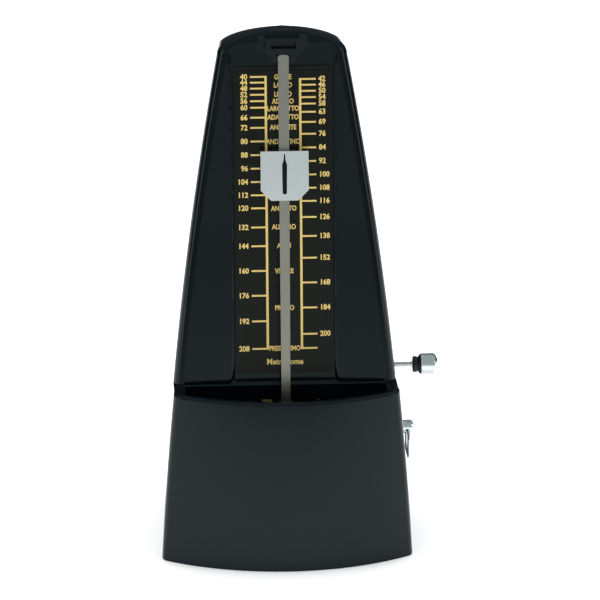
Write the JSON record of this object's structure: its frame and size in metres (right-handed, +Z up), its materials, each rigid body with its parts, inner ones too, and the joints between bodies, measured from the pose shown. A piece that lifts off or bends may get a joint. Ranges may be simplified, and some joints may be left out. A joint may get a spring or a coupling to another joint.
{
  "type": "metronome",
  "caption": "Wind-up pyramid metronome with a sliding weight on an inverted pendulum, a scale plate, a winding key and a pull knob for the bell.",
  "frame": {"origin": "centre of the flat underside that the metronome stands on", "axes": "+Z up, +X to the winding key and the bell's pull knob, -Y to the front with the pendulum and scale"},
  "size_m": [0.1173, 0.108, 0.217],
  "materials": {
    "case_plastic": "deep gloss black moulded plastic with a faint cool sheen",
    "base_plastic": "fine-grained matt black moulded plastic",
    "catch_plastic": "satin black moulded plastic",
    "scale_black": "satin black plate with gold print",
    "foot_rubber": "matt black rubber",
    "ring_rubber": "smooth black rubber",
    "brass": "brushed brass",
    "bright_steel": "bright turned steel",
    "spring_steel": "blue-grey spring steel",
    "rod_steel": "satin rolled steel strip",
    "bell_steel": "nickel-plated steel",
    "lead_grey": "dull grey cast metal",
    "chrome": "bright chrome plate"
  },
  "bodies": {
    "case": {"housing": "case_plastic", "base_plate": "base_plastic", "rubber_feet": "foot_rubber", "base_screws": "bright_steel", "scale_plate": "scale_black", "rod_catch": "catch_plastic", "left_plate": "brass", "middle_plate": "brass", "right_plate": "brass", "frame_pillars": "brass", "movement_screws": "bright_steel", "front_cock": "brass", "rear_cock": "brass", "bell": "bell_steel", "bell_post": "brass", "bell_screw": "bright_steel", "pull_bush": "brass", "click_spring": "spring_steel", "detent_spring": "spring_steel", "click_screw": "bright_steel"},
    "winding": {"winding_arbor": "bright_steel", "ratchet_wheel": "bright_steel", "key_hub": "chrome"},
    "key_loop": {"key_ring": "chrome"},
    "mainspring_barrel": {"barrel": "brass", "barrel_cover": "brass", "great_wheel": "brass", "mainspring": "spring_steel"},
    "second": {"second_arbor": "bright_steel", "second_wheel": "brass"},
    "escape": {"escape_arbor": "bright_steel", "escape_wheel": "brass", "bell_wheel": "brass"},
    "drum": {"drum_arbor": "bright_steel", "bell_drum": "brass"},
    "pendulum": {"verge_arbor": "bright_steel", "pallets": "spring_steel", "pendulum_rod": "rod_steel", "counterweight": "lead_grey", "counterweight_screw": "bright_steel"},
    "tempo_weight": {"sliding_weight": "chrome", "weight_spring": "spring_steel"},
    "bell_pull": {"pull_rod": "bright_steel", "pull_collars": "brass", "stop_ring": "ring_rubber", "pull_knob": "chrome"},
    "bell_hammer": {"hammer": "brass", "hammer_head": "lead_grey"},
    "pawl": {"click": "spring_steel"}
  },
  "joints": [
    {"name": "pendulum_swing", "type": "hinge", "parent": "case", "child": "pendulum", "pos_m": [0, -0.02607, 0.0622], "axis": [0, 0.9925, -0.1219], "range_deg": [-22, 22]},
    {"name": "weight_slide", "type": "slide", "parent": "pendulum", "child": "tempo_weight", "axis": [0, 0.1219, 0.9925], "range_m": [-0.084, 0.0296]},
    {"name": "barrel_turn", "type": "hinge", "parent": "case", "child": "mainspring_barrel", "pos_m": [0, 0.006, 0.0415], "axis": [1, 0, 0], "continuous": true},
    {"name": "second_turn", "type": "hinge", "parent": "case", "child": "second", "pos_m": [0, -0.01502, 0.04953], "axis": [1, 0, 0], "continuous": true},
    {"name": "escape_turn", "type": "hinge", "parent": "case", "child": "escape", "pos_m": [0, -0.0082, 0.06001], "axis": [1, 0, 0], "continuous": true},
    {"name": "drum_turn", "type": "hinge", "parent": "case", "child": "drum", "pos_m": [0, -0.0019, 0.04909], "axis": [1, 0, 0], "continuous": true},
    {"name": "key_turn", "type": "hinge", "parent": "case", "child": "winding", "pos_m": [0, 0.006, 0.0415], "axis": [1, 0, 0], "continuous": true},
    {"name": "key_ring_fold", "type": "hinge", "parent": "winding", "child": "key_loop", "pos_m": [0.05298, 0.006, 0.04], "axis": [0, -1, 0], "range_deg": [0, 170]},
    {"name": "click_lift", "type": "hinge", "parent": "case", "child": "pawl", "pos_m": [0.0314, 0.00911, 0.05309], "axis": [-1, 0, 0], "range_deg": [0, 12]},
    {"name": "bell_select", "type": "slide", "parent": "case", "child": "bell_pull", "axis": [1, 0, 0], "range_m": [-0.0052, 0.0052]},
    {"name": "hammer_lift", "type": "hinge", "parent": "bell_pull", "child": "bell_hammer", "pos_m": [0.015, 0.006, 0.069], "axis": [1, 0, 0], "range_deg": [0, 12]}
  ],
  "couplings": [
    {"joint": "second_turn", "follows": "barrel_turn", "ratio": -4},
    {"joint": "escape_turn", "follows": "barrel_turn", "ratio": 16},
    {"joint": "drum_turn", "follows": "barrel_turn", "ratio": -40}
  ]
}
